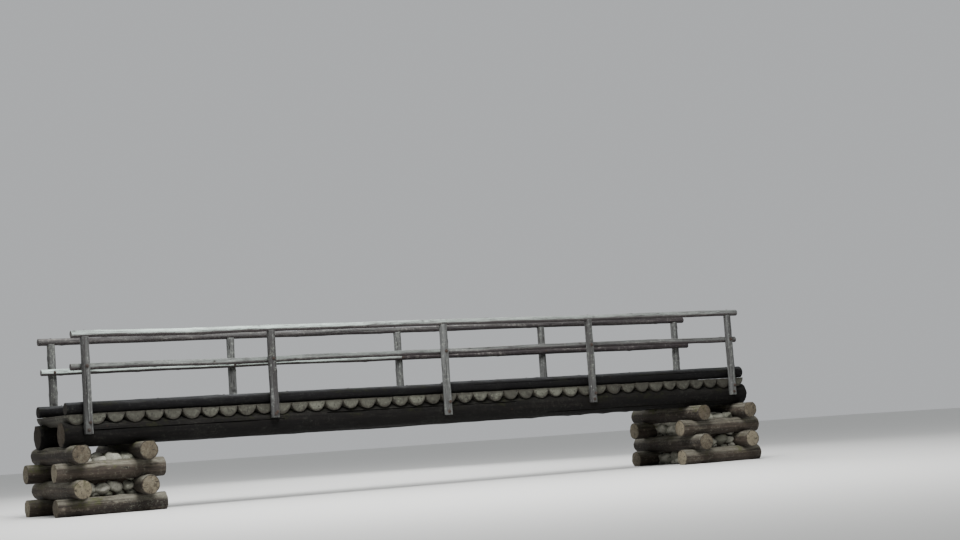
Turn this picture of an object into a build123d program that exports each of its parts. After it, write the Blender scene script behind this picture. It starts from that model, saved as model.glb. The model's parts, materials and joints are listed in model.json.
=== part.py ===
"""Rustic log footbridge: two log stringers on log cribs, a deck of half-round logs laid flat side
up, a kerb log along each edge, and round posts that carry a handrail and a middle rail.

Millimetres. X runs along the bridge, Y across it and Z up, with the floor at Z = 0 and the origin
under the middle of the bridge. The near side is at -Y.
"""

import os
from math import sin, sqrt

from build123d import *

os.makedirs("parts", exist_ok=True)

# Main dimensions of the bridge
deck_height = 1300.0
bay = 2610.0
bays = 4
post_spread = 1410.0
middle_post_shift = 78.0
fourth_post_shift_near = -28.0
fourth_post_shift_far = 20.0

# Running clearance between pieces that are fitted to each other
fit = 0.3

# Railings: heights are above the walking surface, and each pole thins from its butt to its tip
handrail_height = 1067.0
handrail_butt = 97.0
handrail_tip = 89.0
middle_rail_height = 648.0
middle_rail_butt = 90.0
middle_rail_tip = 82.0
middle_rail_housing = 18.0
rail_overhang = 180.0
lap_length = 104.0
saddle_depth = 22.0

# Posts: hewn flat where they stand against the deck ends and the stringer, with uneven feet
post_thickness = 116.0
post_flat_depth = 15.0
post_flat_above_deck = 150.0
post_flat_run_out = 30.0
post_foot_below_deck = 268.0
post_foot_uneven = [0.0, -70.0, 40.0, -12.0, 0.0]
post_seat_play = 7.0

# Deck of half logs, and the kerb logs that lie on it, the stouter ones over the right half
half_logs_per_bay = 10
half_log_count_past_posts = 1
deck_gap = 4.0
width_variation = 0.05
seat_below_deck = 105.0
kerb_log_left = 160.0
kerb_log_right = 182.0
kerb_hewn = 8.0

# Stringers: hewn flat on top for the deck, outside for the posts and below for the sills
stringer_log = 342.0
stringer_end = 48.0
stringer_top_hewn = 25.0
stringer_side_hewn = 14.0
stringer_sill_hewn = 20.0
notch_play = 3.0

# Log cribs: courses of paired logs, alternately along and across the bridge, filled with stone
crib_log = 252.0
crib_courses = 4
crib_length = 900.0
crib_width = 1220.0
crib_log_overhang = 285.0
crib_inset = 540.0
crib_bottom_hewn = 18.0
sill_hewn = 14.0
fill_below_sill_top = 150.0
fill_worn_edge = 60.0

# Levels and lines that the pieces share
post_line = post_spread / 2
deck_half_width = post_line - post_thickness / 2 + post_flat_depth
pitch = bay / half_logs_per_bay
half_log_count = bays * half_logs_per_bay + 2 * half_log_count_past_posts
deck_length = half_log_count * pitch
seat_level = deck_height - seat_below_deck
stringer_length = deck_length + 2 * stringer_end
stringer_level = seat_level + stringer_top_hewn - stringer_log / 2
stringer_line = deck_half_width + stringer_side_hewn - stringer_log / 2
sill_level = stringer_level + stringer_sill_hewn - stringer_log / 2
post_feet = [deck_height - post_foot_below_deck - uneven for uneven in post_foot_uneven]
handrail_level = deck_height + handrail_height - handrail_butt / 2
middle_rail_level = deck_height + middle_rail_height - middle_rail_butt / 2
middle_rail_line = post_line - post_thickness / 2 - middle_rail_tip / 2 + middle_rail_housing
crib_station = deck_length / 2 - crib_inset
rail_end = bays / 2 * bay + rail_overhang

sides = {"near": -1, "far": 1}
ends = {"left": -1, "right": 1}
kerb_logs = {"left": kerb_log_left, "right": kerb_log_right}

# Posts stand at even bays, apart from the middle pair and the fourth post of each side
fourth_post_shifts = {"near": fourth_post_shift_near, "far": fourth_post_shift_far}
post_stations = {}
for side_name in sides:
    stations = [(i - bays / 2) * bay for i in range(bays + 1)]
    stations[bays // 2] += middle_post_shift
    stations[bays // 2 + 1] += fourth_post_shifts[side_name]
    post_stations[side_name] = stations
joint_station = post_stations["near"][bays // 2]


def keep(part, name):
    """Label a finished piece and write its file."""
    part.label = name
    export_step(part, f"parts/{name}.step")


def log_along(x0, x1, y, z, diameter):
    """A straight round log from x0 to x1."""
    with BuildPart() as log:
        with BuildSketch(Plane.YZ.offset(min(x0, x1))):
            with Locations((y, z)):
                Circle(diameter / 2)
        extrude(amount=abs(x1 - x0))
    return log.part


def pole_along(x0, x1, y, z, butt, tip):
    """A peeled pole that thins from its butt at x0 to its tip at x1, a little full between."""
    length = x1 - x0
    full = (3 * butt + tip) / 8
    with BuildPart() as pole:
        with BuildSketch(Plane(origin=(x0, y, z), x_dir=(1, 0, 0), z_dir=(0, -1, 0))):
            with BuildLine():
                Bezier((0, butt / 2), (length / 2, full), (length, tip / 2))
                Polyline((length, tip / 2), (length, 0), (0, 0), (0, butt / 2))
            make_face()
        revolve(axis=Axis((x0, y, z), (1, 0, 0)))
    return pole.part


def pole_radius(station, x0, x1, butt, tip):
    """Radius of such a pole where it passes a station."""
    share = min(1.0, (station - x0) / (x1 - x0))
    rest = 1 - share
    full = (3 * butt + tip) / 8
    return rest**2 * butt / 2 + 2 * rest * share * full + share**2 * tip / 2


# Stringers: hewn along the top, at each post and over the crib sills
for side_name, side in sides.items():
    with BuildPart() as stringer:
        add(log_along(
            -stringer_length / 2, stringer_length / 2, side * stringer_line, stringer_level,
            stringer_log,
        ))
        split(bisect_by=Plane.XY.offset(seat_level), keep=Keep.BOTTOM)
        for station in post_stations[side_name]:
            with Locations((station, side * (deck_half_width + stringer_log / 2), stringer_level)):
                Box(
                    post_thickness + 2 * post_seat_play, stringer_log, 2 * stringer_log,
                    mode=Mode.SUBTRACT,
                )
        for end in ends.values():
            for row in (-1, 1):
                sill_station = end * crib_station + row * crib_length / 2
                with Locations((sill_station, side * stringer_line, sill_level)):
                    Box(
                        crib_log, stringer_log, stringer_log,
                        align=(Align.CENTER, Align.CENTER, Align.MAX), mode=Mode.SUBTRACT,
                    )
    keep(stringer.part, f"stringer_{side_name}")

# Half logs differ a little in width, as logs do, and together they fill the deck's length
widths = [1 + width_variation * sin(2.4 * i) for i in range(half_log_count)]
half_log_edges = [-deck_length / 2]
for width in widths:
    half_log_edges.append(half_log_edges[-1] + width * deck_length / sum(widths))

# Each half log has two axe-cut notches that seat on the stringers and clear their shoulders
flat_above_axis = seat_level - stringer_level
notch_depth = pitch * (1 + 2 * width_variation) / 2 - seat_below_deck
notch_half = sqrt((stringer_log / 2) ** 2 - (flat_above_axis - notch_depth) ** 2) + notch_play


def half_log(left, right):
    """A split log between two edges of the deck, flat side up."""
    radius = (right - left - deck_gap) / 2
    middle = (left + right) / 2
    with BuildPart() as piece:
        with BuildSketch(Plane.XZ.offset(-deck_half_width)):
            with Locations((middle, deck_height)):
                Circle(radius)
                with Locations((0, radius)):
                    Rectangle(2 * radius, 2 * radius, mode=Mode.SUBTRACT)
        extrude(amount=2 * deck_half_width)
        for side in sides.values():
            with Locations((middle, side * stringer_line, seat_level)):
                Box(
                    2 * radius, 2 * notch_half, notch_depth,
                    align=(Align.CENTER, Align.CENTER, Align.MAX), mode=Mode.SUBTRACT,
                )
    return piece.part


# Deck: one node a bay, and the end bays have the half logs that run past the last posts
first = 0
for bay_number in range(1, bays + 1):
    extra = half_log_count_past_posts if bay_number in (1, bays) else 0
    last = first + half_logs_per_bay + extra
    with BuildPart() as deck:
        for i in range(first, last):
            add(half_log(half_log_edges[i], half_log_edges[i + 1]))
    keep(deck.part, f"deck_bay_{bay_number}")
    first = last

# Kerb logs lie on the deck against the posts, hewn flat below, in two lengths a side
for side_name, side in sides.items():
    for end_name, end in ends.items():
        kerb_log = kerb_logs[end_name]
        kerb_line = deck_half_width - kerb_log / 2 - fit
        kerb_level = deck_height + kerb_log / 2 - kerb_hewn
        with BuildPart() as kerb:
            add(log_along(
                end * deck_length / 2, joint_station + end * fit, side * kerb_line, kerb_level,
                kerb_log,
            ))
            split(bisect_by=Plane.XY.offset(deck_height), keep=Keep.TOP)
        keep(kerb.part, f"kerb_{side_name}_{end_name}")

# Handrails: two poles a side, butts outwards, halved and lapped over the middle post
for side_name, side in sides.items():
    for end_name, end in ends.items():
        shoulder = joint_station + end * (lap_length / 2 + fit)
        tongue_end = joint_station - end * lap_length / 2
        with BuildPart() as handrail:
            with BuildSketch(Plane.YZ.offset(min(shoulder, tongue_end))):
                with Locations((side * post_line, handrail_level)):
                    Circle(handrail_tip / 2)
                    with Locations((0, -end * (handrail_tip - fit) / 2)):
                        Rectangle(handrail_tip, handrail_tip, mode=Mode.SUBTRACT)
            extrude(amount=abs(shoulder - tongue_end))
            add(pole_along(
                end * rail_end, shoulder, side * post_line, handrail_level,
                handrail_butt, handrail_tip,
            ))
        keep(handrail.part, f"handrail_{side_name}_{end_name}")

# Middle rails: two poles a side on the walkway faces of the posts, butted at the middle post
for side_name, side in sides.items():
    for end_name, end in ends.items():
        middle_rail = pole_along(
            end * rail_end, joint_station + end * fit, side * middle_rail_line, middle_rail_level,
            middle_rail_butt, middle_rail_tip,
        )
        keep(middle_rail, f"middle_rail_{side_name}_{end_name}")

# Posts: saddled for the handrail, housed for the middle rail, hewn flat against the deck
for side_name, side in sides.items():
    flat = side * deck_half_width
    inside = side * (deck_half_width - post_flat_depth)
    far_inside = side * (deck_half_width - post_thickness)
    flat_top = deck_height + post_flat_above_deck
    run_out_top = flat_top + post_flat_run_out
    for number, station in enumerate(post_stations[side_name], start=1):
        near_end = rail_end if station > joint_station else -rail_end
        post_foot = post_feet[number - 1]
        saddle_radius = fit + pole_radius(
            station, near_end, joint_station, handrail_butt, handrail_tip
        )
        housing_radius = fit + pole_radius(
            station, near_end, joint_station, middle_rail_butt, middle_rail_tip
        )
        with BuildPart() as post:
            with BuildSketch(Plane.XY.offset(post_foot)):
                with Locations((station, side * post_line)):
                    Circle(post_thickness / 2)
            extrude(amount=handrail_level - handrail_butt / 2 + saddle_depth - post_foot)
            with BuildSketch(Plane.YZ.offset(station - post_thickness)):
                with BuildLine():
                    Polyline(
                        (flat, post_foot - fit), (flat, flat_top), (inside, run_out_top),
                        (far_inside, run_out_top), (far_inside, post_foot - fit), close=True,
                    )
                make_face()
            extrude(amount=2 * post_thickness, mode=Mode.SUBTRACT)
            with BuildSketch(Plane.YZ.offset(station - post_thickness)):
                with Locations((side * post_line, handrail_level)):
                    Circle(saddle_radius)
                with Locations((side * middle_rail_line, middle_rail_level)):
                    Circle(housing_radius)
            extrude(amount=2 * post_thickness, mode=Mode.SUBTRACT)
        keep(post.part, f"post_{side_name}_{number}")

# Cribs: each log above the first course is notched over the two logs that it crosses
crib_rise = (sill_level + sill_hewn - crib_log + crib_bottom_hewn) / (crib_courses - 1)


def crib_pair(end, course, diameter):
    """The two logs of a course, counted from 0; the top course is the sills, across the bridge."""
    level = crib_log / 2 - crib_bottom_hewn + course * crib_rise
    across = (crib_courses - 1 - course) % 2 == 0
    reach = 2 * crib_log_overhang + (crib_width if across else crib_length)
    apart = (crib_length if across else crib_width) / 2
    with BuildPart() as pair:
        for row in (-1, 1):
            if across:
                with Locations((end * crib_station + row * apart, 0, level)):
                    Cylinder(diameter / 2, reach, rotation=(90, 0, 0))
            else:
                with Locations((end * crib_station, row * apart, level)):
                    Cylinder(diameter / 2, reach, rotation=(0, 90, 0))
    return pair.part


for end_name, end in ends.items():
    for course in range(crib_courses):
        with BuildPart() as crib:
            add(crib_pair(end, course, crib_log))
            if course == 0:
                split(bisect_by=Plane.XY, keep=Keep.TOP)
            else:
                add(crib_pair(end, course - 1, crib_log + 2 * fit), mode=Mode.SUBTRACT)
            if course == crib_courses - 1:
                split(bisect_by=Plane.XY.offset(sill_level), keep=Keep.BOTTOM)
        keep(crib.part, f"crib_{end_name}_course_{course + 1}")

# Stone fill: one packed mass between the logs of each crib
for end_name, end in ends.items():
    with BuildPart() as fill:
        with Locations((end * crib_station, 0, 0)):
            Box(
                crib_length - crib_log - 2 * fit, crib_width - crib_log - 2 * fit,
                sill_level - fill_below_sill_top,
                align=(Align.CENTER, Align.CENTER, Align.MIN),
            )
        chamfer(fill.faces().sort_by(Axis.Z)[-1].edges(), length=fill_worn_edge)
    keep(fill.part, f"crib_{end_name}_fill")
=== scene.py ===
# %% [markdown]
# # A rustic log footbridge
#
# The bridge is made of whole and split logs: two round stringers on log cribs, half logs laid
# flat side up, a kerb log along each edge, and peeled poles for the posts and rails. The CAD
# model gives every piece its place. This lesson dresses each one as real, weathered wood.

# %% Load the frame
import json
import math
import random

import bmesh
import bpy
import numpy as np
from mathutils import Euler, Matrix, Vector

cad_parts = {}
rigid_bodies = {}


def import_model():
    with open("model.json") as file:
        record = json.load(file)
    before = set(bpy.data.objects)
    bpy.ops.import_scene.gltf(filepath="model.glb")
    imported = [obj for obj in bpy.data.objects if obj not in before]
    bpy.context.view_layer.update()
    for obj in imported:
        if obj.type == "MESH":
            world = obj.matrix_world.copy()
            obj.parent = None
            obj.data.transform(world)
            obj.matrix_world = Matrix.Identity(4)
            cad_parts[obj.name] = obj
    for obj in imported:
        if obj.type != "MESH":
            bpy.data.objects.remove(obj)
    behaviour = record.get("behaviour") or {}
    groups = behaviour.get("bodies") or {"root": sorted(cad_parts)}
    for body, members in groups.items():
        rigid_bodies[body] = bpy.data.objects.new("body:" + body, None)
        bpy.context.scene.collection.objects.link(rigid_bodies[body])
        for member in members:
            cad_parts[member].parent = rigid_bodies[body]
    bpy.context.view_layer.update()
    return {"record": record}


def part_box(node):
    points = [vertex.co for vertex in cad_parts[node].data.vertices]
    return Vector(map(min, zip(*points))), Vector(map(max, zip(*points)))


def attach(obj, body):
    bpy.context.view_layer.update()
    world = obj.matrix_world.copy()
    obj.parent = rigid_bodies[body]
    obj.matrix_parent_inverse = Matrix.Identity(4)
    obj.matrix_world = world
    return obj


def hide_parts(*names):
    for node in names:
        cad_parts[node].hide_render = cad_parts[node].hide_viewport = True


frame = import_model()

# %% [markdown]
# ## Camera
#
# The bridge was seen from low down, well to the left of its middle and a little below its deck,
# through a long lens. The picture leans a few degrees, as a hand-held one does. A constraint
# could aim the camera but not lean it, so its turn is worked out here. A camera looks along its
# own -Z, so the pitch starts from a quarter turn.

# %% Camera
CAMERA_PLACE = (-12.86, -23.57, 0.76)
YAW, PITCH, ROLL = math.radians(30.78), math.radians(4.945), math.radians(-3.87)
LENS, SENSOR_WIDTH = 68.8, 36  # in millimetres
FARTHEST_SEEN = 300

bpy.ops.object.camera_add(location=CAMERA_PLACE)
camera = bpy.context.object
turn = Euler((math.pi / 2 + PITCH, 0, -YAW)).to_matrix() @ Matrix.Rotation(ROLL, 3, "Z")
camera.rotation_euler = turn.to_euler()
camera.data.sensor_width = SENSOR_WIDTH
camera.data.lens = LENS
camera.data.clip_end = FARTHEST_SEEN
bpy.context.scene.camera = camera
print("Camera at", CAMERA_PLACE)

# %% [markdown]
# ## Floor and light
#
# Light fell on the bridge from high up in front, left of its middle, so the upper sides of the
# rails are pale and their undersides dark, and the right end is the dimmest. A wide soft key
# there gives part of that, with weak lights overhead and behind, and a pale plain floor. The rest
# is painted into the wood's colours as painted light and shade.

# %% Floor and sky
bpy.ops.mesh.primitive_plane_add(size=160)
floor = bpy.context.object
floor.name = "floor"
paper = bpy.data.materials.new("floor_paper")
paper.use_nodes = True
paper_shader = paper.node_tree.nodes["Principled BSDF"]
paper_shader.inputs["Base Color"].default_value = (0.70, 0.70, 0.68, 1)
paper_shader.inputs["Roughness"].default_value = 0.9
floor.data.materials.append(paper)

world = bpy.data.worlds.new("studio")
world.use_nodes = True
sky = world.node_tree.nodes["Background"]
sky.inputs["Color"].default_value = (0.80, 0.82, 0.84, 1)
sky.inputs["Strength"].default_value = 0.62
bpy.context.scene.world = world


# %% Soft lights
def soft_light(name, place, aim, size, watts):
    """Add a square area light at a place, turned towards a point."""
    bpy.ops.object.light_add(type="AREA", location=place)
    lamp = bpy.context.object
    lamp.name = name
    lamp.data.size = size
    lamp.data.energy = watts
    lamp.rotation_euler = (Vector(aim) - Vector(place)).to_track_quat("-Z", "Y").to_euler()


soft_light("key_front", (-3.2, -6.6, 11.0), (0, 0, 1.2), 6.0, 2700)
soft_light("overhead", (-1.0, 1.0, 10.0), (0, 0, 1), 8.0, 600)
soft_light("fill_behind", (5.0, 9.5, 6.5), (0, 0, 1.2), 6.0, 700)

# %% [markdown]
# ## Working in edit mode
#
# Every log is shaped as by hand: pick a piece, choose some of its points or edges, and run an
# operator on them. These small helpers pick and choose, and apply modifiers and transforms.

# %% Picking and choosing
SELECT_MODES = {"verts": "VERT", "edges": "EDGE"}


def pick(*pieces):
    """Leave edit mode, select only these objects and make the first one active."""
    if bpy.context.mode != "OBJECT":
        bpy.ops.object.mode_set(mode="OBJECT")
    bpy.ops.object.select_all(action="DESELECT")
    for piece in pieces:
        piece.select_set(True)
    bpy.context.view_layer.objects.active = pieces[0]


def choose(piece, kind, test):
    """Open a piece in edit mode, with only the verts or edges that pass a test chosen."""
    pick(piece)
    bpy.ops.object.mode_set(mode="EDIT")
    bpy.ops.mesh.select_mode(type=SELECT_MODES[kind])
    bpy.ops.mesh.select_all(action="DESELECT")
    mesh = bmesh.from_edit_mesh(piece.data)
    for item in [item for item in getattr(mesh, kind) if test(item)]:
        item.select_set(True)
    bmesh.update_edit_mesh(piece.data)


def done():
    """Leave edit mode."""
    bpy.ops.object.mode_set(mode="OBJECT")


def finish_modifiers(piece):
    """Apply all the modifiers of a piece, in order."""
    pick(piece)
    for modifier in list(piece.modifiers):
        bpy.ops.object.modifier_apply(modifier=modifier.name)


def settle(piece):
    """Move a piece's place, turn and scale into its mesh, and leave it at the origin."""
    pick(piece)
    bpy.ops.object.transform_apply(location=True, rotation=True, scale=True)


# %% [markdown]
# ## A log
#
# A sawn log is a cylinder with a worn rim at each end. It lies along X while it is worked on,
# with its heart on the X axis. Its long edges are subdivided into rings, so that it can taper,
# crook and swell. A curve with a round bevel would be quicker to make, but it has no points to
# choose for cracks and hewn flats.

# %% Round logs
CLOSE = 1e-4  # places that differ by less than this count as one


def round_log(name, length, butt, tip, around, rings, rim=0.005):
    """A log along X, with its butt at -X, its tip at +X and rounded rims."""
    bpy.ops.mesh.primitive_cylinder_add(
        vertices=around, radius=butt / 2, depth=length, rotation=(0, math.pi / 2, 0)
    )
    log = bpy.context.object
    log.name = name
    log["around"] = around
    settle(log)
    choose(log, "edges", lambda e: abs(e.verts[0].co.x - e.verts[1].co.x) < CLOSE)
    bpy.ops.mesh.bevel(offset=rim, segments=2, affect="EDGES")
    choose(log, "edges", lambda e: abs(e.verts[0].co.x - e.verts[1].co.x) > length / 2)
    bpy.ops.mesh.subdivide(number_cuts=rings)
    choose(log, "verts", lambda v: v.co.x > length / 2 - CLOSE)
    bpy.ops.transform.resize(
        value=(1, tip / butt, tip / butt), center_override=(length / 2, 0, 0),
        use_proportional_edit=True, proportional_edit_falloff="LINEAR", proportional_size=length,
    )
    done()
    return log


# %% [markdown]
# ## Crooks, knots and drying cracks
#
# No pole grows straight. Knots swell the wood where branches grew, and as a log dries it splits
# along its grain. Proportional editing moves a ring or a point and carries its neighbours along,
# and a crack is one line of edges, bevelled open and pushed in.


# %% Crooks and knots
def crook(log, chance, amount, bends):
    """Bend a log a little sideways and up or down, and leave its ends where they are.

    The first bend is a long one near the middle, and the others are shorter and further out.
    """
    length = log.dimensions.x
    for bend in range(bends):
        off_middle, reach = (0.25, 0.24) if bend else (0.05, 0.45)
        station = length * chance.uniform(-off_middle, off_middle)
        choose(log, "verts", lambda v: abs(v.co.x - station) < length / 60)
        bpy.ops.transform.translate(
            value=(0, chance.uniform(-amount, amount), chance.uniform(-amount, amount)),
            use_proportional_edit=True, proportional_edit_falloff="SMOOTH",
            proportional_size=length * reach,
        )
        done()


def swell_knots(log, chance, count, height, reach):
    """Swell a log at a few scattered points, where its branches grew."""
    length = log.dimensions.x
    radius = log.dimensions.z / 2
    spots = []
    for _ in range(count):
        angle = chance.uniform(0, 2 * math.pi)
        station = chance.uniform(-0.46, 0.46) * length
        spots.append(Vector((station, radius * math.cos(angle), radius * math.sin(angle))))
    points = [v.co.copy() for v in log.data.vertices]
    nearest = {min(range(len(points)), key=lambda i: (points[i] - spot).length) for spot in spots}
    choose(log, "verts", lambda v: v.index in nearest)
    bpy.ops.transform.shrink_fatten(
        value=height, use_proportional_edit=True, proportional_edit_falloff="SMOOTH",
        proportional_size=reach,
    )
    done()


# %% Drying cracks
def drying_crack(log, line, low, high, width, depth):
    """Open a crack along one line of a log's points, from low to high in shares of its length.

    The line is bevelled into a narrow strip, and the strip's middle is pushed to the heart.
    """
    length = log.dimensions.x
    between_lines = 2 * math.pi / log["around"]

    def on_line(v):
        angle = math.atan2(v.co.z, v.co.y) - line * between_lines
        off = abs((angle + math.pi) % (2 * math.pi) - math.pi)
        return off < between_lines / 4 and low * length < v.co.x < high * length

    choose(log, "edges", lambda e: all(on_line(v) for v in e.verts))
    bpy.ops.mesh.bevel(offset=width / 2, segments=2, affect="EDGES")
    bpy.ops.mesh.select_mode(type="VERT")
    bpy.ops.mesh.select_less()
    share = 1 - depth / (log.dimensions.z / 2)
    bpy.ops.transform.resize(value=(1, share, share), center_override=(0, 0, 0))
    done()


# %% [markdown]
# ## Uneven surfaces
#
# A drawknife leaves long shallow facets on a peeled pole, and no log is truly round. Displace
# modifiers give both. They read a texture through an empty that is stretched along the grain,
# and the empty is moved before each log, so that no two are alike.

# %% Textures for uneven surfaces
MOST_INSIDE = 0.6  # a middle level over a half, so that more of the surface goes in than out

stretch = bpy.data.objects.new("grain_stretch", None)
bpy.context.scene.collection.objects.link(stretch)

girth = bpy.data.textures.new("girth", "CLOUDS")
girth.noise_scale = 0.11
girth.noise_depth = 2
facets = bpy.data.textures.new("facets", "VORONOI")
facets.noise_scale = 0.05
facets.distance_metric = "DISTANCE"


def move_stretch(chance, along):
    """Move the empty somewhere new, stretched along X."""
    stretch.location = [chance.uniform(-50, 50) for _ in range(3)]
    stretch.scale = (along, 1, 1)
    bpy.context.view_layer.update()


def displace(piece, texture, depth, level=0.5, through=None):
    """Push a surface in and out by a texture, read through an empty or on the piece itself."""
    uneven = piece.modifiers.new(texture.name, "DISPLACE")
    uneven.texture = texture
    uneven.texture_coords = "OBJECT" if through else "LOCAL"
    uneven.texture_coords_object = through
    uneven.strength = depth
    uneven.mid_level = level


def roughen(piece, chance, girth_depth, facet_depth, along=5.0):
    """Displace a piece's surface, with forms that are long in the direction of X."""
    move_stretch(chance, along)
    displace(piece, girth, girth_depth, MOST_INSIDE, stretch)
    displace(piece, facets, facet_depth, MOST_INSIDE, stretch)
    finish_modifiers(piece)


# %% [markdown]
# ## Remembering the grain
#
# Wood's pattern belongs to the log, not to the place where it is laid. Each point's place in
# the log is kept as an attribute before the log is moved, with a shift along the grain that
# differs from log to log. Sawn ends are marked too, because they show rings instead of grain.
# An unwrapped map would give a grain as well, but with a seam along every log.


# %% Grain, tone, bleaching and painted light
FACING_OUT, END_DEPTH = 0.7, 0.03  # what counts as a sawn end: where it looks, how deep it goes


def store(piece, name, values, kind="FLOAT", domain="POINT"):
    """Keep a value for each point or face of a piece, for its material to read."""
    layer = piece.data.attributes.new(name, kind, domain)
    layer.data.foreach_set("vector" if kind == "FLOAT_VECTOR" else "value", values)


def remember_grain(log, chance, length, bleached_and_lit=(1.0, 1.0), shade=None):
    """Store the log's own coordinates, its sawn ends, its tone and its share of bleaching and
    light.

    The share of bleaching and light, partly painted light and shade, is given at evenly spaced
    places from the butt to the tip. The tone goes from 0, dark, to 1, light, and is left to
    chance where no shade is given.
    """
    count = len(log.data.vertices)
    place = np.empty(count * 3)
    log.data.vertices.foreach_get("co", place)
    place = place.reshape(-1, 3)
    stations = np.linspace(-length / 2, length / 2, len(bleached_and_lit))
    store(log, "faded", np.interp(place[:, 0], stations, bleached_and_lit))
    place[:, 0] += chance.uniform(-80, 80)
    store(log, "grain", place.ravel(), kind="FLOAT_VECTOR")
    store(log, "tone", np.full(count, chance.uniform(0, 1) if shade is None else shade))
    store(log, "sawn_end", [
        float(abs(face.normal.x) > FACING_OUT and abs(face.center.x) > length / 2 - END_DEPTH)
        for face in log.data.polygons
    ], domain="FACE")


# %% [markdown]
# ## Hewing, copying and laying
#
# A hewn flat is made by bringing points back to one level, which keeps them, so the flat can
# still be roughened. Only seats and laps with square shoulders are cut by a boolean. A piece is
# laid by moving its mesh, so that its object stays at the origin.


# %% Hewing
def press_flat(piece, axis, level, where=lambda v: True):
    """Hew a flat: bring all points beyond a level on one axis back to that level."""
    sign = 1 if level > 0 else -1
    choose(piece, "verts", lambda v: v.co[axis] * sign > level * sign and where(v))
    centre = Vector()
    centre[axis] = level
    value = [1, 1, 1]
    value[axis] = 0
    bpy.ops.transform.resize(value=value, center_override=centre)
    done()


def join(pieces, name):
    """Make one object of some pieces, and name it."""
    pick(*pieces)
    if len(pieces) > 1:
        bpy.ops.object.join()
    piece = bpy.context.object
    piece.name = name
    return piece


def carve(piece, *boxes):
    """Cut boxes, each a centre and a size, out of a piece."""
    cutters = []
    for centre, size in boxes:
        bpy.ops.mesh.primitive_cube_add(size=1, location=centre)
        cutter = bpy.context.object
        cutter.scale = size
        settle(cutter)
        cutters.append(cutter)
    cutter = join(cutters, "cutter")
    cut = piece.modifiers.new("carve", "BOOLEAN")
    cut.operation = "DIFFERENCE"
    cut.solver = "EXACT"
    cut.object = cutter
    finish_modifiers(piece)
    bpy.data.objects.remove(cutter)


# %% Copying and laying
def duplicate(piece):
    """A copy of a piece, with a mesh of its own."""
    copy = piece.copy()
    copy.data = copy.data.copy()
    bpy.context.scene.collection.objects.link(copy)
    return copy


def lay(log, place, turn=(0, 0, 0)):
    """Shade a finished log and move its mesh to its place, with its object at the origin."""
    pick(log)
    bpy.ops.object.shade_smooth_by_angle(angle=math.radians(38))
    log.location = place
    log.rotation_euler = turn
    settle(log)


def butt_outward(end):
    """The turn that lays a log with its butt towards its own end of the bridge."""
    return (0, 0, 0 if end < 0 else math.pi)


# %% [markdown]
# ## Stand-ins and their nodes
#
# Each dressed piece stands for one CAD node and rides on the bridge's only body. One helper
# says so for every piece.

# %% Standing for a node
SIDES = {"near": -1, "far": 1}
ENDS = {"left": -1, "right": 1}
dressed = []


def stand_for(piece, node):
    """Put a finished piece in place of a CAD node."""
    piece.name = node + "_log"
    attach(piece, "root")
    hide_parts(node)
    dressed.append(piece)


def middle(low, high):
    """Halfway between two corners, or between two numbers."""
    return (low + high) / 2


# %% [markdown]
# ## Handrails and middle rails
#
# The rails are peeled poles, thicker at the outer end. The two handrails of a side are halved and
# lapped over the middle post. Each pole is worked lying on X and then laid on its node. Some
# poles are bleached nearly white and others stayed grey-brown, and light fell on them unevenly,
# so each keeps how bleached and how lit it is along its length, from its butt to its tip, as
# bleaching and painted light and shade. More than 1 lightens the flanks like the top, as painted
# light. Rails that stood in shade also get a darker tone, as painted shade.

# %% Rails
RAIL_KINDS = {"handrail": (0.097, 0.089), "middle_rail": (0.090, 0.082)}  # at the butt, the tip
RAIL_CRACKS = ((-0.47, -0.18), (-0.08, 0.16), (0.24, 0.44))  # in shares of the length
LAP, LAP_EASE = 0.103, 0.0016  # the lap's length, and a little more that the cut takes
# How bleached and how lit each rail is, from butt to tip: partly painted light and shade.
LIT_AND_BLEACHED = {
    "handrail_near_left": (0.70, 1.0, 1.0, 0.75, 0.45), "handrail_near_right": (0.25, 0.45),
    "handrail_far_left": (0.05, 0.10), "handrail_far_right": (0.0, 0.06),
    "middle_rail_near_left": (0.20, 0.28, 0.24), "middle_rail_near_right": (0.12, 0.15),
    "middle_rail_far_left": (1.6, 2.4, 2.3, 2.7, 1.1, 0.35),
    "middle_rail_far_right": (0.0, 0.0),
}
# Darker tones for the rails that stood in shade: painted shade.
RAIL_SHADE_TONES = {
    "handrail_far_left": 0.35, "handrail_far_right": 0.15,
    "middle_rail_near_left": 0.35, "middle_rail_near_right": 0.35,
    "middle_rail_far_right": 0.0,
}

chance = random.Random(11)
for side_name in SIDES:
    for end_name, end in ENDS.items():
        for kind, (butt, tip) in RAIL_KINDS.items():
            node = f"{kind}_{side_name}_{end_name}"
            low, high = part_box(node)
            length = high.x - low.x
            rail = round_log("rail", length, butt, tip, around=32, rings=100)
            for start, stop in RAIL_CRACKS:
                line = chance.randrange(rail["around"])
                drying_crack(rail, line, start, stop, width=0.004, depth=0.012)
            crook(rail, chance, 0.009, bends=3)
            swell_knots(rail, chance, 11, height=0.0045, reach=0.06)
            swell_knots(rail, chance, 7, height=0.007, reach=0.045)
            roughen(rail, chance, girth_depth=0.008, facet_depth=0.004)
            if kind == "handrail":  # the left one keeps its upper half, the right one its lower
                carve(rail, ((length / 2 - LAP / 2, 0, end * 0.05), (LAP + LAP_EASE, 0.2, 0.1)))
            # A rail that stood in shade gets a darker tone here, as painted shade.
            tone = RAIL_SHADE_TONES.get(node, chance.uniform(0, 1))
            remember_grain(rail, chance, length, LIT_AND_BLEACHED[node], shade=tone)
            lay(rail, middle(low, high), butt_outward(end))
            stand_for(rail, node)
print("Rails:", len(dressed))

# %% [markdown]
# ## Posts
#
# A post is a pole stood on its butt and bolted to the outside of the stringer, so its foot is
# hewn flat against the deck's edge. The middle pair and the second far post are the palest, and
# the second near post is the darkest.

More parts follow.
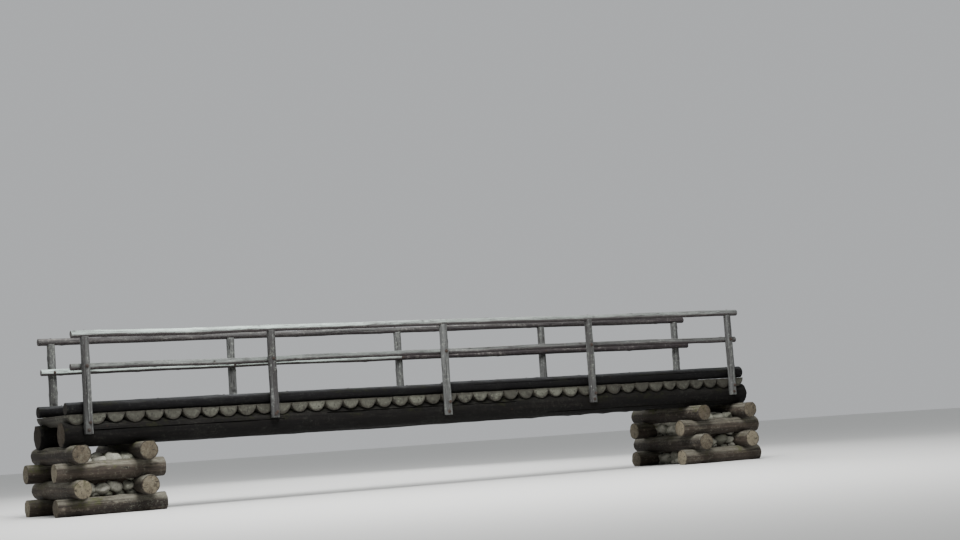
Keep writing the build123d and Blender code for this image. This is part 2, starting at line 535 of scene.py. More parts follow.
# %% Posts
POST_LINE = 0.705  # from the middle of the bridge to a post's heart
FOOT_FLAT, FLAT_TO_HEART = 0.43, 0.043  # how far up the foot is hewn, and how near its heart
SHADES = {
    "post_near_2": 0.10, "post_near_3": 1.0, "post_near_4": 0.35,
    "post_far_2": 0.95, "post_far_3": 0.95,
}

chance = random.Random(23)
for side_name, side in SIDES.items():
    for number in range(1, 6):
        node = f"post_{side_name}_{number}"
        low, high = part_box(node)
        length = high.z - low.z
        post = round_log("post", length, butt=0.119, tip=0.113, around=40, rings=56, rim=0.006)
        for start, stop in ((-0.40, 0.10), (-0.05, 0.46)):
            line = chance.randrange(post["around"])
            drying_crack(post, line, start, stop, width=0.005, depth=0.016)
        crook(post, chance, 0.004, bends=2)
        swell_knots(post, chance, 6, height=0.005, reach=0.05)
        roughen(post, chance, girth_depth=0.008, facet_depth=0.004, along=4)
        flat_end = FOOT_FLAT - length / 2
        press_flat(post, 1, -side * FLAT_TO_HEART, lambda v: v.co.x < flat_end)
        remember_grain(post, chance, length, shade=SHADES.get(node, 0.5))
        centre = middle(low, high)
        centre.y = side * POST_LINE
        lay(post, centre, (0, -math.pi / 2, 0))
        stand_for(post, node)
print("With the posts:", len(dressed))

# %% [markdown]
# ## Kerb logs
#
# The kerbs are very dark logs that lie on the deck along the posts, hewn flat underneath. The two
# on the right are stouter, so each takes its thickness from its node.

# %% Kerbs
HEWN_OFF = 0.008
BUTT_SHARE, TIP_SHARE = 1.02, 0.95

chance = random.Random(37)
for side_name in SIDES:
    for end_name, end in ENDS.items():
        node = f"kerb_{side_name}_{end_name}"
        low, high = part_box(node)
        length, thick = high.x - low.x, high.y - low.y
        heart = thick / 2 - HEWN_OFF
        kerb = round_log(
            "kerb", length, thick * BUTT_SHARE, thick * TIP_SHARE, around=40, rings=100, rim=0.008
        )
        for start, stop in ((-0.46, -0.10), (0.02, 0.41)):
            line = chance.randrange(2, 16)
            drying_crack(kerb, line, start, stop, width=0.006, depth=0.016)
        crook(kerb, chance, 0.005, bends=2)
        swell_knots(kerb, chance, 10, height=0.006, reach=0.07)
        roughen(kerb, chance, girth_depth=0.010, facet_depth=0.004)
        press_flat(kerb, 2, -heart)
        remember_grain(kerb, chance, length)
        centre = middle(low, high)
        centre.z = low.z + heart
        lay(kerb, centre, butt_outward(end))
        stand_for(kerb, node)
print("With the kerbs:", len(dressed))

# %% [markdown]
# ## Stringers
#
# The two stringers carry everything. Their tops are hewn level for the deck, and a seat is
# hewn for each post, so that the post bears on flat wood. Each flank has a crack in each third.

# %% Stringers
STRINGER_LINE, STRINGER_HEART = 0.505, 1.049
HEWN_TOP = 0.146  # from the heart to the deck
SEAT_TO_HEART, SEAT_WIDTH = 0.157, 0.130
post_stations = {
    side_name: [middle(*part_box(f"post_{side_name}_{number}")).x for number in range(1, 6)]
    for side_name in SIDES
}

chance = random.Random(41)
for side_name, side in SIDES.items():
    node = f"stringer_{side_name}"
    low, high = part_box(node)
    length = high.x - low.x
    stringer = round_log(
        "stringer", length, butt=0.346, tip=0.336, around=64, rings=100, rim=0.014
    )
    for start, stop in ((-0.48, -0.22), (-0.17, 0.12), (0.16, 0.47)):
        for flank in (0, stringer["around"] // 2):
            line = chance.randrange(-7, 8) + flank
            drying_crack(stringer, line, start, stop, width=0.009, depth=0.030)
    crook(stringer, chance, 0.008, bends=2)
    swell_knots(stringer, chance, 16, height=0.010, reach=0.16)
    roughen(stringer, chance, girth_depth=0.020, facet_depth=0.007)
    press_flat(stringer, 2, HEWN_TOP)
    carve(stringer, *(
        ((station, side * (SEAT_TO_HEART + 0.1), 0), (SEAT_WIDTH, 0.2, 0.5))
        for station in post_stations[side_name]
    ))
    remember_grain(stringer, chance, length)
    lay(stringer, (0, side * STRINGER_LINE, STRINGER_HEART))
    stand_for(stringer, node)
print("With the stringers:", len(dressed))

# %% [markdown]
# ## Half logs
#
# The deck is of split logs, ten or eleven to a bay. The upper half of a log's points is pressed
# flat, which also gives the split face its own grid of points. Six are modelled and then copied,
# each copy with its own mesh, width, tone and place, and a little deeper than a true half. The
# end bays are darker, as damper wood and as painted shade.

# %% Half logs to copy
LOG_SPACING, DECK_WIDTH, DECK_HEIGHT = 0.261, 1.324, 1.300

chance = random.Random(53)
half_logs = []
for _ in range(6):
    half_log = round_log(
        "half_log", DECK_WIDTH, LOG_SPACING, LOG_SPACING, around=44, rings=50, rim=0.008
    )
    swell_knots(half_log, chance, 4, height=0.010, reach=0.09)
    choose(half_log, "verts", lambda v: v.co.z > CLOSE)
    bpy.ops.transform.resize(value=(1, 1, 0), center_override=(0, 0, 0))
    done()
    roughen(half_log, chance, girth_depth=0.012, facet_depth=0.004, along=4)
    half_logs.append(half_log)

# %% Widths of the half logs
BAYS = {1: range(0, 11), 2: range(11, 21), 3: range(21, 31), 4: range(31, 42)}
# Tones of the log ends by bay: the end bays darker, as damper wood and as painted shade.
BAY_DAMP_AND_SHADE_TONES = {1: (0.0, 0.55), 2: (0.10, 0.80), 3: (0.10, 0.80), 4: (0.0, 0.40)}
HALF_LOG_COUNT = 42
JOINT = 0.004
DEEPER = 1.09

widths = [1 + 0.05 * math.sin(2.4 * i) for i in range(HALF_LOG_COUNT)]
edges = [-HALF_LOG_COUNT / 2 * LOG_SPACING]
for width in widths:
    edges.append(edges[-1] + width * HALF_LOG_COUNT * LOG_SPACING / sum(widths))

# %% Deck
for bay, numbers in BAYS.items():
    bay_logs = []
    for i in numbers:
        scale = (edges[i + 1] - edges[i] - JOINT) / LOG_SPACING
        copy = duplicate(chance.choice(half_logs))
        copy.scale = (1 - chance.uniform(0, 0.012), scale, scale * DEEPER)
        settle(copy)
        remember_grain(copy, chance, DECK_WIDTH, shade=chance.uniform(*BAY_DAMP_AND_SHADE_TONES[bay]))
        station = middle(edges[i], edges[i + 1])
        quarter = chance.choice((-1, 1)) * math.pi / 2
        lay(copy, (station, 0, DECK_HEIGHT - chance.uniform(0, 0.006)), (0, 0, quarter))
        bay_logs.append(copy)
    stand_for(join(bay_logs, "deck_bay"), f"deck_bay_{bay}")
for half_log in half_logs:
    bpy.data.objects.remove(half_log)
print("With the deck:", len(dressed))

# %% [markdown]
# ## Cribs
#
# Each end rests on a crib: courses of two logs, laid along and across in turn, and notched
# over one another at the corners. A notch is hidden by the log that lies in it, so the logs
# simply share its space here. The lowest and the highest course are hewn flat.

# %% Crib logs
APART_ALONG, APART_ACROSS = 0.610, 0.450  # from the crib's middle to a log's heart
LOWEST_HEART, COURSE_RISE = 0.108, 0.226
TOP_TO_HEART = 0.112
COURSES = 4

chance = random.Random(67)
for end_name in ENDS:
    for course in range(1, COURSES + 1):
        node = f"crib_{end_name}_course_{course}"
        low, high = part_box(node)
        centre = middle(low, high)
        along = course % 2 == 1
        length = (high.x - low.x) if along else (high.y - low.y)
        level = LOWEST_HEART + (course - 1) * COURSE_RISE
        pair = []
        for row in (-1, 1):
            log = round_log(
                "crib_log", length, butt=0.258, tip=0.246, around=48, rings=34, rim=0.012
            )
            for start in (chance.uniform(-0.46, -0.30), chance.uniform(-0.05, 0.10)):
                line = chance.randrange(log["around"])
                stop = start + chance.uniform(0.2, 0.36)
                drying_crack(log, line, start, stop, width=0.008, depth=0.024)
            crook(log, chance, 0.006, bends=1)
            swell_knots(log, chance, 5, height=0.010, reach=0.12)
            roughen(log, chance, girth_depth=0.016, facet_depth=0.005, along=4)
            if course == 1:
                press_flat(log, 2, -LOWEST_HEART)
            if course == COURSES:
                press_flat(log, 2, TOP_TO_HEART)
            remember_grain(log, chance, length)
            flip = chance.choice((0, math.pi))
            if along:
                lay(log, (centre.x, row * APART_ALONG, level), (0, 0, flip))
            else:
                x = centre.x + row * APART_ACROSS
                lay(log, (x, 0, level), (0, 0, flip + math.pi / 2))
            pair.append(log)
        stand_for(join(pair, "crib_course"), node)
print("With the cribs:", len(dressed))

# %% [markdown]
# ## Stone fill
#
# Rounded stones ballast the cribs. Four are shaped from spheres, with a few flats pressed into
# them, and copied round a rough core of packed earth. Small ones chink the gaps between the
# courses of large ones. Dropped by a simulation they would lie closer, but that takes longer
# than laying them in courses, and what isn't seen needs no stones.

# %% Stones to copy
lumps = bpy.data.textures.new("lumps", "CLOUDS")
lumps.noise_scale = 0.55
lumps.noise_depth = 1


def worn_stone():
    """A boulder about a unit across, flattened on a few sides by wear."""
    bpy.ops.mesh.primitive_ico_sphere_add(subdivisions=4, radius=0.5)
    stone = bpy.context.object
    stone.name = "stone"
    for _ in range(5):
        stone.rotation_euler = [chance.uniform(0, 6) for _ in range(3)]
        settle(stone)
        press_flat(stone, 2, chance.uniform(0.34, 0.42))
    worn = stone.modifiers.new("worn", "SMOOTH")
    worn.iterations = 6
    move_stretch(chance, along=1)
    displace(stone, lumps, 0.20, through=stretch)
    finish_modifiers(stone)
    return stone


chance = random.Random(71)
stones = [worn_stone() for _ in range(4)]


# %% Laying stones
def lay_stone(place, size, on_floor=False):
    """A copy of a stone, turned at random and laid at a place, or on the floor there."""
    copy = duplicate(chance.choice(stones))
    copy.scale = (size, size * chance.uniform(0.8, 1.1), size * chance.uniform(0.68, 0.86))
    copy.rotation_euler = (
        chance.uniform(-0.3, 0.3), chance.uniform(-0.3, 0.3), chance.uniform(0, 6.3)
    )
    copy.location = Vector(place) + Vector([chance.uniform(-0.015, 0.015) for _ in range(3)])
    settle(copy)
    if on_floor:
        copy.location.z = 0.002 - min(v.co.z for v in copy.data.vertices)
        settle(copy)
    bpy.ops.object.shade_smooth()
    store(copy, "tone", np.full(len(copy.data.vertices), chance.uniform(0, 1)))
    return copy


# %% Filling a crib
STONE_LEVELS = (0.135, 0.34, 0.56, 0.69)
SIDE_CHINKS, END_CHINKS = 0.245, (0.090, 0.455)  # in the gaps of the long and the end faces
CHINKS_X, CHINKS_Y = 0.31, 0.47  # from the crib's middle to the chinks in those faces


def spread(count, width):
    """Evenly spaced places over a width, with zero in the middle."""
    return [(i / (count - 1) - 0.5) * width for i in range(count)]


def fill_crib(centre):
    """Courses of stones round the sides of a crib, chinked, and a last one over its top."""
    laid = []
    for layer, level in enumerate(STONE_LEVELS):
        columns, rows = (4, 7) if layer % 2 else (5, 8)
        for column, x in enumerate(spread(columns, 0.60)):
            for row, y in enumerate(spread(rows, 0.96)):
                edge = column in (0, columns - 1) or row in (0, rows - 1)
                if edge or level == STONE_LEVELS[-1]:
                    size = chance.uniform(0.21, 0.30)
                    laid.append(lay_stone((centre.x + x, y, level), size, on_floor=layer == 0))
    for side in (-1, 1):
        spots = [(x, side * CHINKS_Y, SIDE_CHINKS) for x in spread(5, 0.67)]
        for level in END_CHINKS:
            spots += [(side * CHINKS_X, y, level) for y in spread(7, 0.98)]
        for x, y, level in spots:
            size = chance.uniform(0.12, 0.17)
            on_floor = level == END_CHINKS[0]
            laid.append(lay_stone((centre.x + x, y, level), size, on_floor))
    return laid


# %% Packed earth
SMALLER_BY = Vector((0.01, 0.01, 0.12))


def earth_core(low, high):
    """Packed earth behind the stones: a block with a lumpy surface."""
    bpy.ops.mesh.primitive_cube_add(size=1, location=middle(low, high))
    core = bpy.context.object
    core.scale = (high - low) - SMALLER_BY
    settle(core)
    choose(core, "edges", lambda e: True)
    bpy.ops.mesh.subdivide(number_cuts=14)
    done()
    displace(core, lumps, 0.07)
    finish_modifiers(core)
    bpy.ops.object.shade_smooth()
    return core


cores = []
for end_name in ENDS:
    node = f"crib_{end_name}_fill"
    low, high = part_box(node)
    stand_for(join(fill_crib(middle(low, high)), "stones"), node)
    core = earth_core(low, high)
    core.name = f"crib_{end_name}_earth"
    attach(core, "root")
    cores.append(core)
for stone in stones:
    bpy.data.objects.remove(stone)
print("With the fills:", len(dressed), "and", len(cores), "cores")

# %% [markdown]
# ## Iron fastenings
#
# Bolts hold the posts to the stringers and the middle rails to the posts, and drift pins hold
# the handrails, kerbs and half logs. Each kind is modelled once and copied. A ray cast finds
# the log's real surface at each place, so that every head is seated on wood.


# %% Bolt ends and pin heads
def turned(name, around, radius, depth, rim):
    """A short cylinder that stands on Z = 0, with a bevelled upper rim."""
    bpy.ops.mesh.primitive_cylinder_add(
        vertices=around, radius=radius, depth=depth, location=(0, 0, depth / 2)
    )
    piece = bpy.context.object
    piece.name = name
    settle(piece)
    choose(piece, "edges", lambda e: min(v.co.z for v in e.verts) > depth - CLOSE)
    bpy.ops.mesh.bevel(offset=rim, segments=2, affect="EDGES")
    done()
    return piece


bolt_end = join([
    turned("washer", 28, 0.0240, 0.006, 0.0012), turned("nut", 6, 0.0160, 0.020, 0.0018),
    turned("shank", 14, 0.0080, 0.030, 0.0014),
], "bolt_end")
bolt_head = turned("bolt_head", 20, 0.0190, 0.008, 0.0050)
pin_head = turned("pin_head", 12, 0.0105, 0.007, 0.0025)

# %% Seating a fastening
bpy.context.view_layer.update()
wood = {piece.name.removesuffix("_log"): piece for piece in dressed}
bolts, heads, pins = [], [], []


def fasten(kind, node, start, heading, sink=0.002):
    """Seat a copy of a fastening where a line from start meets the wood of a node."""
    hit, place, _, _ = wood[node].ray_cast(Vector(start), Vector(heading))
    if not hit:
        raise ValueError(f"nothing to fasten to at {start}")
    copy = duplicate(kind)
    copy.location = place + Vector(heading) * sink
    copy.rotation_euler = (-Vector(heading)).to_track_quat("Z", "Y").to_euler()
    settle(copy)
    return copy


def drive_pin(node, x, y, above=3, sink=0.002):
    """Drive a drift pin straight down into the wood of a node."""
    pins.append(fasten(pin_head, node, (x, y, above), (0, 0, -1), sink))


# %% Fastenings in place
UPPER_BOLT, RAIL_BOLT, OVER_FOOT = 1.178, 1.903, 0.050
OFF_JOINT = 0.02  # keeps a bolt head off the joint of the two middle rails
LAP_PINS = ((-0.032, "left"), (0.032, "right"))
FIRST_PIN, PIN_SPACING, DECK_PIN_LINE = 0.50, 0.93, 0.455
KERB_SHIFT = 0.078  # the kerbs meet at the middle posts, this far right of the middle

for side_name, side in SIDES.items():
    for number, station in enumerate(post_stations[side_name], start=1):
        post = f"post_{side_name}_{number}"
        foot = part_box(post)[0].z
        for level, aside in ((UPPER_BOLT, 0.010), (foot + OVER_FOOT, -0.012), (RAIL_BOLT, 0.0)):
            bolts.append(fasten(bolt_end, post, (station + aside, side, level), (0, -side, 0)))
        over_lap = number == 3
        end_name = "left" if number < 3 else "right"
        inward = (station + (OFF_JOINT if over_lap else 0), 0, RAIL_BOLT)
        middle_rail = f"middle_rail_{side_name}_{end_name}"
        heads.append(fasten(bolt_head, middle_rail, inward, (0, side, 0)))
        for aside, rail_end in LAP_PINS if over_lap else ((0, end_name),):
            drive_pin(f"handrail_{side_name}_{rail_end}", station + aside, side * POST_LINE)
    for end_name, end in ENDS.items():
        kerb = f"kerb_{side_name}_{end_name}"
        kerb_line = middle(*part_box(kerb)).y
        shift = KERB_SHIFT if end > 0 else 0
        for place in range(6):
            drive_pin(kerb, end * (FIRST_PIN + PIN_SPACING * place) + shift, kerb_line)
    for bay, numbers in BAYS.items():
        for i in numbers:
            x = middle(edges[i], edges[i + 1]) + 0.012 * math.sin(5 * i)
            y = side * (DECK_PIN_LINE + 0.008 * math.sin(3 * i))
            drive_pin(f"deck_bay_{bay}", x, y, above=2, sink=0.005)
print("Fastenings:", len(bolts) + len(heads) + len(pins))

fastenings = [
    join(bolts, "post_bolts"), join(heads, "middle_rail_bolt_heads"), join(pins, "drift_pins")
]
for piece in fastenings:
    pick(piece)
    bpy.ops.object.shade_smooth_by_angle(angle=math.radians(35))
    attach(piece, "root")
for kind in (bolt_end, bolt_head, pin_head):
    bpy.data.objects.remove(kind)

# %% [markdown]
# ## Materials: maths on sockets
#
# Shader maths reads best as plain expressions. This small class wraps one output socket of a
# material and turns Python's operators into Math nodes. Any other node comes from add().


# %% A socket that takes part in sums
class Value:
    """An output socket of a node tree, or with no socket the empty start of one."""

    def __init__(self, tree, socket=None):
        self.tree = tree
        self.socket = socket

    def add(self, kind, inputs, out=0, **settings):
        """Add a node: its settings first, then the values or links of its sockets."""
        node = self.tree.nodes.new(kind)
        for name, setting in settings.items():
            setattr(node, name, setting)
        for key, value in inputs.items():
            if isinstance(value, Value):
                self.tree.links.new(value.socket, node.inputs[key])
            else:
                node.inputs[key].default_value = value
        return Value(self.tree, node.outputs[out])

    def math(self, operation, first, second=0.0):
        """A Math node on two values or numbers."""
        return self.add("ShaderNodeMath", {0: first, 1: second}, operation=operation)

    def __add__(self, other):
        return self.math("ADD", self, other)

    def __sub__(self, other):
        return self.math("SUBTRACT", self, other)

    def __rsub__(self, other):
        return self.math("SUBTRACT", other, self)

    def __mul__(self, other):
        return self.math("MULTIPLY", self, other)

    def __truediv__(self, other):
        return self.math("DIVIDE", self, other)

    def __pow__(self, other):
        return self.math("POWER", self, other)

    def __abs__(self):
        return self.math("ABSOLUTE", self)

    __radd__ = __add__
    __rmul__ = __mul__

    def between(self, low, high, to_low=0.0, to_high=1.0):
        """A smooth step from one value to another."""
        return self.add(
            "ShaderNodeMapRange", {0: self, 1: low, 2: high, 3: to_low, 4: to_high},
            interpolation_type="SMOOTHSTEP",
        )

    def mix(self, low, high):
        """The colour low where this is 0 and the colour high where it is 1."""
        return self.add("ShaderNodeMix", {0: self, 6: low, 7: high}, out=2, data_type="RGBA")

    def stretched(self, x, y, z):
        """A vector with each axis scaled."""
        return self.add("ShaderNodeVectorMath", {0: self, 1: (x, y, z)}, operation="MULTIPLY")

    def part(self, axis):
        """One axis of a vector."""
        return self.add("ShaderNodeSeparateXYZ", {0: self}, out="XYZ".index(axis))

    def noise(self, scale, detail=3.0, roughness=0.55, distortion=0.0):
        """Cloudy values from about 0 to 1."""
        return self.add("ShaderNodeTexNoise", {
            "Vector": self, "Scale": scale, "Detail": detail, "Roughness": roughness,
            "Distortion": distortion,
        })

    def cells(self, scale):
        """How far it is to the nearest of many scattered points."""
        return self.add("ShaderNodeTexVoronoi", {"Vector": self, "Scale": scale})

    def stored(self, name, out=2):
        """What a piece stores under a name: a number, or with out=1 a vector."""
        return self.add("ShaderNodeAttribute", {}, out=out, attribute_name=name)

    def place(self):
        """The place in the bridge's own frame."""
        return self.add("ShaderNodeTexCoord", {}, out=3)

    def upward(self):
        """How much the surface faces up, from -1 where it faces down to 1."""
        return self.add("ShaderNodeNewGeometry", {}, out=1).part("Z")


# %% New materials, links and colours
def new_material(name):
    """A material with only a Principled shader, and its tree as a value to start from."""
    material = bpy.data.materials.new(name)
    material.use_nodes = True
    return material, Value(material.node_tree)


def plug(material, socket, value):
    """Link a value to a socket of the material's shader."""
    shader = material.node_tree.nodes["Principled BSDF"]
    material.node_tree.links.new(value.socket, shader.inputs[socket])


def plug_relief(material, height, strength, distance):
    """Shade fine relief from a height. A height of 1 stands out by the distance, in metres."""
    plug(material, "Normal", height.add(
        "ShaderNodeBump", {"Strength": strength, "Distance": distance, "Height": height}
    ))


def srgb(red, green, blue):
    """A colour as the eye reads it, 0 to 255, turned to the linear one that nodes use."""
    return tuple(((c / 255 + 0.055) / 1.055) ** 2.4 for c in (red, green, blue)) + (1.0,)


# %% [markdown]
# ## Weathered wood
#
# All the wood here is the same stuff at different ages, so one recipe makes every finish. Streaks
# follow the grain, drying cracks run along it, rings and radial cracks show on sawn ends, and the
# top is bleached and painted paler as painted light, while the underside is damp and painted
# darker as painted shade.

# %% Weathered wood
INSIDE_CRACK, KNOT = srgb(22, 18, 17), srgb(38, 30, 25)
LICHEN, MOSS = srgb(160, 166, 150), srgb(74, 80, 42)
RING_RATE = 540  # radians to a metre of radius, so a ring about every 12 mm


def weathered_wood(
    name, dark, mid, pale, bleached_and_lit, log_radius, bleach_and_light=0.8, damp_and_underside_shade=0.5, moss=0.3, lichen=0.3,
    roughness=0.85, end_pale=None, end_mid=None, end_rim=0.80, specular=0.3,
    bleach_and_light_from=-0.10, bleach_and_light_to=0.80, streaks=1.0, kerb_shadow_edge=0.0,
):
    """A finish of three tones of wood and a fourth for bleaching and painted light, for logs of
    about a radius.

    The first amounts say how much bleaching with painted light on top, dampness with painted
    shade underneath, moss and lichen there is, and streaks how uneven the bleaching is. The paler
    top starts where the surface faces up by the lower of its two limits and is full at the upper.
    Sawn ends may have tones of their own. They darken from the share end_rim of the radius
    outwards, and their upper edge can be darkened as painted shadow of the kerb.
    """
    material, start = new_material(name)
    shader = material.node_tree.nodes["Principled BSDF"]
    shader.inputs["Specular IOR Level"].default_value = specular
    grain, place, upward = start.stored("grain", out=1), start.place(), start.upward()
    tone, faded, sawn = start.stored("tone"), start.stored("faded"), start.stored("sawn_end")
    side = 1 - sawn

    # Grain, cracks and knots on the sides
    fibre = grain.stretched(5, 130, 130).noise(1.0, detail=4, roughness=0.7)
    bands = grain.stretched(0.9, 22, 22).noise(1.0, detail=3, roughness=0.6)
    patches = place.noise(2.1, detail=4, roughness=0.6)
    mottle = place.noise(21.0, detail=4, roughness=0.65)
    crack_lines = grain.stretched(0.8, 34, 34).noise(1.0, detail=2, roughness=0.5)
    crack_where = grain.stretched(1.3, 9, 9).noise(1.0, detail=1).between(0.46, 0.60)
    cracks = abs(crack_lines - 0.5).between(0.004, 0.018, 1, 0) * crack_where * side
    hair_lines = grain.stretched(0.7, 75, 75).noise(1.0, detail=2, roughness=0.6)
    hair_cracks = abs(hair_lines - 0.5).between(0.004, 0.03, 1, 0) * side
    knot_distance = grain.stretched(1.0, 1.25, 1.25).cells(4.2)
    knots = knot_distance.between(0.045, 0.085, 1, 0) * side
    knot_rim = knot_distance.between(0.07, 0.20, 1, 0) * side

    # Rings and radial cracks on the sawn ends
    y, z = grain.part("Y"), grain.part("Z")
    radius = (y * y + z * z) ** 0.5
    phase = radius * RING_RATE + grain.noise(7.0, detail=2) * 10
    rings = phase.math("SINE", phase).between(-0.9, 0.9)
    spokes = start.add("ShaderNodeCombineXYZ", {
        0: y / (radius + 0.001), 1: z / (radius + 0.001), 2: tone * 40 + radius * 5
    }).noise(2.1, detail=2, roughness=0.5)
    end_cracks = abs(spokes - 0.5).between(0.004, 0.02, 1, 0) * sawn
    end_cracks = end_cracks * radius.between(0.003, log_radius * 0.3)
    rim = radius.between(log_radius * end_rim, log_radius) * sawn

    # Colour of the sides. The top is paler by bleaching and by painted light, and the underside
    # darker by damp and by painted shade.
    lit = upward.between(bleach_and_light_from, bleach_and_light_to)
    low = upward.between(-0.95, 0.05, 1, 0)
    body = (bands * 0.8 + fibre * 0.3 + tone * 0.30 - 0.20).between(0.30, 0.66).mix(dark, mid)
    body = (mottle * 0.6 + bands * 0.4).between(0.52, 0.66).mix(body, pale)
    uneven = (fibre - 0.5) * 0.9 + (bands - 0.5) * 1.1 + (patches - 0.5) * 0.9
    bleaching_and_light = lit * (bleach_and_light + uneven * streaks)
    body = (bleaching_and_light.between(0.0, 1.0) * faded).mix(body, bleached_and_lit)
    body = (fibre.between(0.34, 0.50, 1, 0) * side * 0.5).mix(body, mid)
    body = (hair_cracks * 0.55).mix(body, dark)

    # Colour of the sawn ends, then what darkens both
    ends = rings * 0.20 + mottle * 0.45 + tone * 0.55 + patches * 0.3 - 0.30
    ends = ends.between(0.22, 0.66).mix(end_mid or mid, end_pale or pale)
    ends = (rings.between(0.2, 1.0) * 0.30).mix(ends, dark)
    grime = rim * 0.75 + mottle.between(0.30, 0.44, 1, 0) * 0.5
    ends = grime.between(0.1, 0.95).mix(ends, dark)
    # The upper edge of the ends is darkened as painted shadow of the kerb.
    ends = (z.between(-0.045, -0.006) * kerb_shadow_edge).mix(ends, dark)
    body = sawn.mix(body, ends)
    body = (cracks * 0.85 + end_cracks * 0.9).mix(body, INSIDE_CRACK)
    body = (knot_rim * 0.35).mix(body, dark)
    body = (knots * 0.8).mix(body, KNOT)
    # Painted shade, as well as damp, darkens the underside.
    body = (low * damp_and_underside_shade).mix(body, dark)

    # Lichen and moss
    crusts = place.noise(75.0, detail=5, roughness=0.75, distortion=0.6).between(0.53, 0.62)
    lichen_here = (patches * 0.45 + mottle * 0.55).between(0.49, 0.60)
    body = (crusts * lichen_here * lichen).mix(body, LICHEN)
    moss_here = (patches * 0.55 + mottle * 0.45).between(0.38, 0.48, 1, 0)
    body = (moss_here * upward.between(-0.2, 0.5) * moss).mix(body, MOSS)
    plug(material, "Base Color", body)

    plug(material, "Roughness", roughness - (1 - lit) * 0.08 + fibre * 0.10 - 0.05)
    height = fibre * 0.5 + bands * 0.5 + mottle * 0.2 - cracks * 1.8 - hair_cracks * 0.4
    height = height + knot_rim * 0.7 - knots * 0.5 + rings * sawn * 0.25 - end_cracks * 1.6
    plug_relief(material, height, 0.6, 0.006)
    return material


# %% Finishes of the wood
# The rails' pale upper side reaches far down their flanks, as bleaching and painted light from
# high in front.
rail_wood = weathered_wood(
    "rail_wood", srgb(44, 39, 41), srgb(78, 72, 72), srgb(110, 106, 103), srgb(184, 198, 191),
    0.047, bleach_and_light=0.82, damp_and_underside_shade=0.9, moss=0.05, lichen=0.25, bleach_and_light_from=-0.60, bleach_and_light_to=0.20,
    streaks=1.6,
)
post_wood = weathered_wood(
    "post_wood", srgb(46, 44, 44), srgb(88, 89, 88), srgb(120, 123, 120), srgb(134, 141, 136),
    0.058, bleach_and_light=0.5, damp_and_underside_shade=0.3, moss=0.08, lichen=0.6,
)
# The kerbs' pale top line is a painted highlight on their top-lit edge.
kerb_wood = weathered_wood(
    "kerb_wood", srgb(8, 7, 9), srgb(14, 13, 14), srgb(23, 22, 23), srgb(62, 63, 64),
    0.085, bleach_and_light=0.70, damp_and_underside_shade=0.7, moss=0.08, lichen=0.08, roughness=0.8,
    bleach_and_light_from=0.30, bleach_and_light_to=0.95,
    end_mid=srgb(32, 28, 26), end_pale=srgb(60, 56, 50), specular=0.12,
)
deck_wood = weathered_wood(
    "deck_wood", srgb(44, 41, 35), srgb(88, 85, 75), srgb(114, 112, 99), srgb(124, 121, 110),
    0.130, bleach_and_light=0.66, damp_and_underside_shade=0.9, moss=0.22, lichen=0.25,
    end_mid=srgb(58, 57, 50), end_pale=srgb(104, 105, 94), end_rim=0.66, kerb_shadow_edge=0.65,
)
# The stringers' near-black tones are painted shade: they lie in deep shade under the deck.
stringer_wood = weathered_wood(
    "stringer_wood", srgb(8, 7, 7), srgb(16, 14, 13), srgb(26, 23, 21), srgb(36, 35, 32),
    0.171, bleach_and_light=0.45, damp_and_underside_shade=0.75, moss=0.12, lichen=0.08,
    end_mid=srgb(44, 38, 32), end_pale=srgb(80, 72, 61), specular=0.12,
)
crib_wood = weathered_wood(
    "crib_wood", srgb(36, 31, 28), srgb(72, 64, 56), srgb(98, 91, 80), srgb(120, 117, 105),
    0.126, bleach_and_light=0.6, damp_and_underside_shade=0.6, moss=0.55, lichen=0.3,
    end_mid=srgb(78, 70, 58), end_pale=srgb(128, 120, 102), specular=0.2,
)

# %% [markdown]
# ## Stone
#
# The stones are grey-green boulders with pale lichen, darker towards the bottom. Their pattern is
# read in the bridge's frame, so that stones of one shape still differ.

# %% Stone
fill_stone, start = new_material("fill_stone")
place, upward = start.place(), start.upward()
broad = place.noise(5.0, detail=3)
fine = place.noise(48.0, detail=5, roughness=0.7)
tones = (broad * 0.4 + start.stored("tone") * 0.6).between(0.2, 0.8)
grey = tones.mix(srgb(104, 104, 92), srgb(162, 160, 148))
grey = (fine.between(0.36, 0.56, 1, 0) * 0.45).mix(grey, srgb(84, 83, 74))
crusts = place.noise(34.0, detail=4, roughness=0.7).between(0.55, 0.62)
grey = (crusts * broad.between(0.45, 0.58) * 0.55).mix(grey, srgb(186, 190, 170))
green = broad.between(0.30, 0.42, 1, 0) * upward.between(0.0, 0.7) * 0.6
grey = green.mix(grey, srgb(92, 96, 56))
grey = (upward.between(-0.9, 0.1, 1, 0) * 0.5).mix(grey, srgb(60, 57, 50))
plug(fill_stone, "Base Color", grey)
plug(fill_stone, "Roughness", fine.between(0.3, 0.7, 0.72, 0.92))
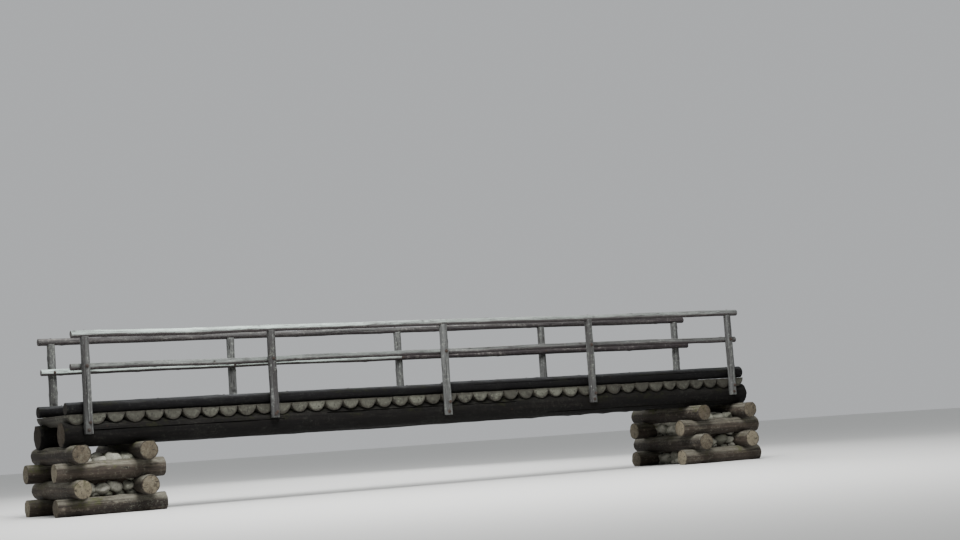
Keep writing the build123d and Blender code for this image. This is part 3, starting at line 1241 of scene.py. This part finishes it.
plug_relief(fill_stone, fine, 0.4, 0.004)

# %% [markdown]
# ## Earth and iron
#
# Damp packed earth shows only as a dark ground between the stones. The iron is rusted all
# over, dark brown with a warmer brown where the rust is fresh.

# %% Earth and iron
packed_earth, start = new_material("packed_earth")
crumbs = start.place().noise(38.0, detail=5, roughness=0.7)
earth = crumbs.between(0.35, 0.65).mix(srgb(30, 25, 20), srgb(66, 56, 44))
plug(packed_earth, "Base Color", earth)
plug(packed_earth, "Roughness", crumbs.between(0.2, 0.8, 0.85, 1.0))
plug_relief(packed_earth, crumbs, 0.8, 0.01)

rusty_iron, start = new_material("rusty_iron")
place = start.place()
flakes = place.noise(160.0, detail=4, roughness=0.7)
fresh = place.noise(45.0, detail=3).between(0.5, 0.65)
rust = flakes.between(0.35, 0.65).mix(srgb(30, 25, 23), srgb(54, 42, 35))
plug(rusty_iron, "Base Color", (fresh * 0.5).mix(rust, srgb(76, 52, 38)))
plug(rusty_iron, "Roughness", flakes.between(0.3, 0.7, 0.65, 0.9))
plug_relief(rusty_iron, flakes, 0.6, 0.001)

# %% [markdown]
# ## Dressing and measuring
#
# A piece takes the finish of its node's material slot. Earth and fastenings stand for no node, so
# they are given theirs by hand. The last cell counts the dressed pieces and their triangles.

# %% Dress every piece
FINISHES = {
    "rail_wood": rail_wood, "post_wood": post_wood, "kerb_wood": kerb_wood,
    "deck_wood": deck_wood, "stringer_wood": stringer_wood, "crib_wood": crib_wood,
    "fill_stone": fill_stone,
}


def dress(piece, finish):
    """Give a piece one finish all over."""
    piece.data.materials.clear()
    piece.data.materials.append(finish)


slots = {part["node"]: part["material_slot"] for part in frame["record"]["subparts"]}
for node, piece in wood.items():
    dress(piece, FINISHES[slots[node]])
for core in cores:
    dress(core, packed_earth)
for piece in fastenings:
    dress(piece, rusty_iron)
bpy.data.objects.remove(stretch)

dressed += cores + fastenings
triangles = sum(len(face.vertices) - 2 for piece in dressed for face in piece.data.polygons)
print("Pieces:", len(dressed), "triangles:", triangles)
